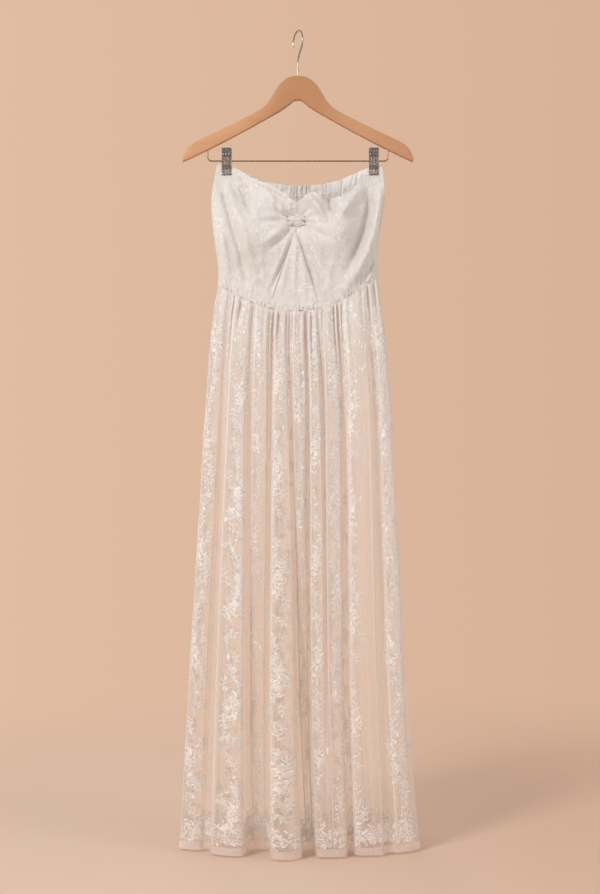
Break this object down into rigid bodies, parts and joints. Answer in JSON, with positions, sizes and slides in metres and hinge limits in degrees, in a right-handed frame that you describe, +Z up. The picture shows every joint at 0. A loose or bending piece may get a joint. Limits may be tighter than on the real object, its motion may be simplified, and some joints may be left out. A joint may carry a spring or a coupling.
{
  "type": "maternity dress on a clip hanger",
  "caption": "Strapless lace maxi maternity dress with gathered cups, a shirred back and a long folded sheer skirt, clipped to the bar of a wooden hanger that hangs by its hook.",
  "frame": {"origin": "inside top of the hanger's hook, where the rail bears", "axes": "+Z up along the hook's stem, -Y the way the dress's front faces, +X to the right of someone looking at the front"},
  "size_m": [0.46, 0.191, 1.5612],
  "materials": {
    "lined_lace": "floral lace over a white lining, matt",
    "sheer_lace": "see-through floral lace net, matt",
    "band": "turned edge and shirred elastic, matt",
    "beech": "satin varnish",
    "dark_clip": "dark nickel plate, ribbed",
    "wire": "bronzed steel wire"
  },
  "bodies": {
    "root": {"bodice_front_left": "lined_lace", "bodice_front_right": "lined_lace", "midriff_inset": "lined_lace", "bodice_back": "lined_lace", "centre_tab": "lined_lace", "back_elastic_band": "band", "waist_seam_front": "band", "waist_seam_back": "band", "skirt_front": "sheer_lace", "skirt_back": "sheer_lace", "hem_front": "band", "hem_back": "band", "hanger_wood": "beech", "hanger_hook": "wire", "clip_bar": "wire", "clip_left_front_jaw": "dark_clip", "clip_left_back_jaw": "dark_clip", "clip_left_spring": "dark_clip", "clip_right_front_jaw": "dark_clip", "clip_right_back_jaw": "dark_clip", "clip_right_spring": "dark_clip"}
  },
  "joints": []
}
